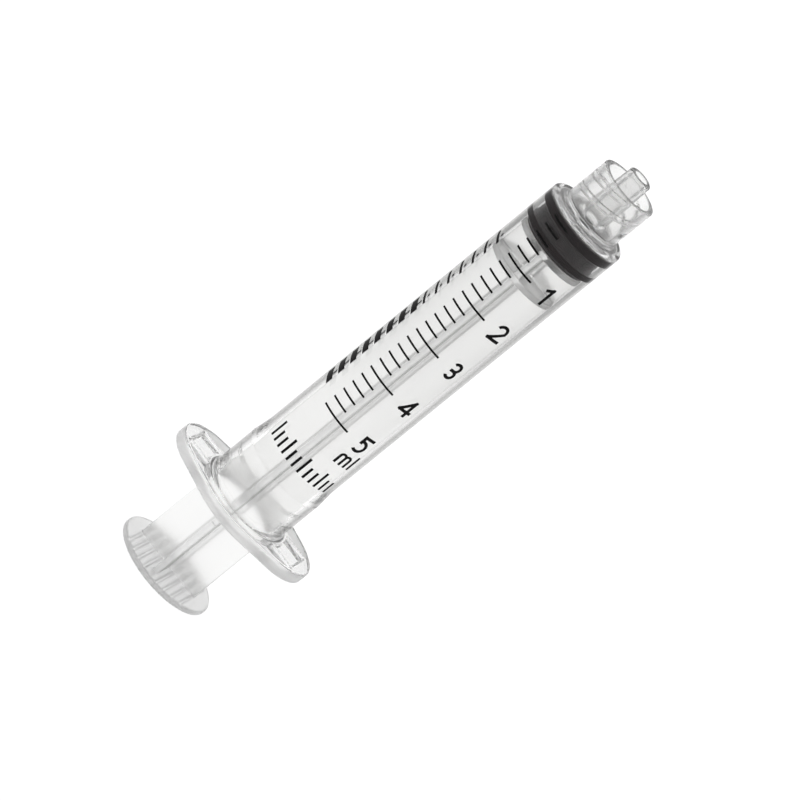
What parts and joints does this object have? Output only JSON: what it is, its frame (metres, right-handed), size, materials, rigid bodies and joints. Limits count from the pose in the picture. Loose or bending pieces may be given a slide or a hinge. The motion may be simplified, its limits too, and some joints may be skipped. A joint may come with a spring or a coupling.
{
  "type": "luer lock syringe",
  "caption": "Clear plastic syringe with a finger flange, crossed-web plunger, black rubber stopper, printed volume scale and a threaded locking tip.",
  "frame": {"origin": "centre of the thumb plate's rest face, at the foot of the standing syringe", "axes": "+Z along the syringe's axis towards the tip, +X along a wing of the finger flange, the printed scale faces -Y"},
  "size_m": [0.0276, 0.0198, 0.0921],
  "materials": {
    "clear_plastic": "clear polished polypropylene",
    "milky_plastic": "slightly milky polypropylene",
    "black_rubber": "black moulded rubber, lightly siliconed",
    "black_ink": "black pad-printed ink"
  },
  "bodies": {
    "rod": {"plunger_rod": "milky_plastic"},
    "seal": {"stopper": "black_rubber"},
    "barrel_body": {"barrel": "clear_plastic", "scale_lines": "black_ink", "scale_numerals": "black_ink", "unit_mark": "black_ink", "stripe_mark": "black_ink", "note_mark": "black_ink"}
  },
  "joints": [
    {"name": "rod_swivel", "type": "hinge", "parent": "rod", "child": "seal", "pos_m": [0, 0, 0.0788], "axis": [0, 0, 1], "continuous": true},
    {"name": "plunger_slide", "type": "slide", "parent": "seal", "child": "barrel_body", "axis": [0, 0, 1], "range_m": [0, 0.0482]}
  ]
}
